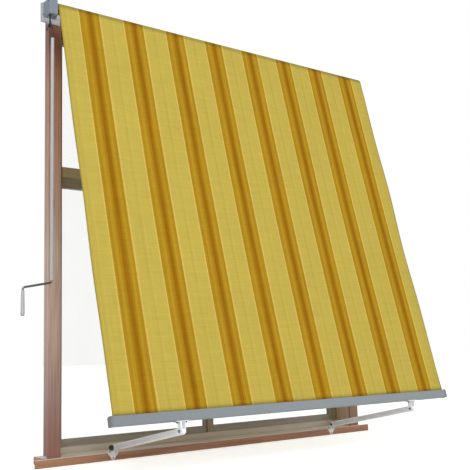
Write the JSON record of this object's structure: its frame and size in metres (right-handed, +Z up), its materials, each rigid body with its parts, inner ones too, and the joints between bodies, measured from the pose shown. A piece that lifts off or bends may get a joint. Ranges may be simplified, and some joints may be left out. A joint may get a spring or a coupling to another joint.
{
  "type": "drop arm window awning",
  "caption": "Striped fabric roller awning with drop arms, front bar and hooked winding crank, on its wooden window frame with glazed sash.",
  "frame": {"origin": "middle of the sill board's underside, in the plane of the jambs' front faces", "axes": "+Z up, +X along the window to the right seen from outside, +Y into the building; -Y is the outside"},
  "size_m": [2.2229, 0.804, 2.136],
  "materials": {
    "painted_wood": "weathered stained",
    "sash_wood": "pale painted",
    "glass": "clear",
    "cloth": "woven stripes",
    "zinc": "galvanised",
    "steel": "bright",
    "grey_paint": "powder coated grey",
    "white_paint": "gloss white",
    "aluminium": "satin",
    "black": "matt black",
    "bolt": "black coated",
    "grey_plastic": "grey"
  },
  "bodies": {
    "window": {"sill_board": "painted_wood", "left_jamb": "painted_wood", "right_jamb": "painted_wood", "head_rail": "painted_wood", "bottom_rail": "sash_wood", "left_stile": "sash_wood", "right_stile": "sash_wood", "mullion": "sash_wood", "mullion_bead": "sash_wood", "left_lower_rail": "sash_wood", "left_transom_lower_rail": "sash_wood", "left_transom_upper_rail": "sash_wood", "left_upper_rail": "sash_wood", "right_lower_rail": "sash_wood", "right_transom_lower_rail": "sash_wood", "right_transom_upper_rail": "sash_wood", "right_upper_rail": "sash_wood", "left_lower_pane": "glass", "left_upper_pane": "glass", "right_lower_pane": "glass", "right_upper_pane": "glass", "winch_bracket": "zinc", "square_bolt": "steel", "idler_bracket": "zinc", "gearbox_housing": "grey_paint", "gearbox_cover": "zinc", "awning_cloth": "cloth", "left_sill_bracket": "white_paint", "right_sill_bracket": "white_paint", "left_pivot_bolt": "bolt", "right_pivot_bolt": "bolt"},
    "roller": {"roller_tube": "zinc", "drive_plug": "black", "idler_plug": "black", "worm_wheel": "steel"},
    "crank": {"worm_shaft": "steel", "crank_hook": "steel", "crank_tube": "grey_plastic", "crank_handle": "steel"},
    "grip": {"crank_grip": "grey_plastic"},
    "left_arm": {"left_arm_tube": "aluminium", "left_arm_foot": "aluminium", "left_arm_head": "aluminium"},
    "right_arm": {"right_arm_tube": "aluminium", "right_arm_foot": "aluminium", "right_arm_head": "aluminium"},
    "front_bar": {"front_bar": "grey_paint", "left_bar_cap": "black", "right_bar_cap": "black", "left_hanger": "aluminium", "right_hanger": "aluminium", "left_outer_bolt": "bolt", "left_inner_bolt": "bolt", "right_outer_bolt": "bolt", "right_inner_bolt": "bolt", "left_hanger_pin": "steel", "right_hanger_pin": "steel"}
  },
  "joints": [
    {"name": "crank_turn", "type": "hinge", "parent": "window", "child": "crank", "pos_m": [-1.0526, -0.164, 2], "axis": [0, 0, 1], "range_deg": [0, 9000]},
    {"name": "grip_spin", "type": "hinge", "parent": "crank", "child": "grip", "pos_m": [-1.1721, -0.164, 0.71], "axis": [0, 0, 1], "continuous": true},
    {"name": "roller_spin", "type": "hinge", "parent": "window", "child": "roller", "pos_m": [0, -0.146, 2.056], "axis": [-1, 0, 0], "range_deg": [0, 1285.71]},
    {"name": "left_arm_swing", "type": "hinge", "parent": "window", "child": "left_arm", "pos_m": [-0.664, -0.042, 0.06], "axis": [-1, 0, 0], "range_deg": [0, 75], "deforming": ["awning_cloth"]},
    {"name": "right_arm_swing", "type": "hinge", "parent": "window", "child": "right_arm", "pos_m": [0.736, -0.042, 0.06], "axis": [-1, 0, 0], "range_deg": [0, 75]},
    {"name": "bar_tilt", "type": "hinge", "parent": "left_arm", "child": "front_bar", "pos_m": [-0.704, -0.65013, 0.17202], "axis": [-1, 0, 0], "range_deg": [-75, 0]}
  ],
  "couplings": [
    {"joint": "crank_turn", "follows": "left_arm_swing", "ratio": 120},
    {"joint": "roller_spin", "follows": "left_arm_swing", "ratio": 17.143},
    {"joint": "right_arm_swing", "follows": "left_arm_swing", "ratio": 1},
    {"joint": "bar_tilt", "follows": "left_arm_swing", "ratio": -1}
  ]
}
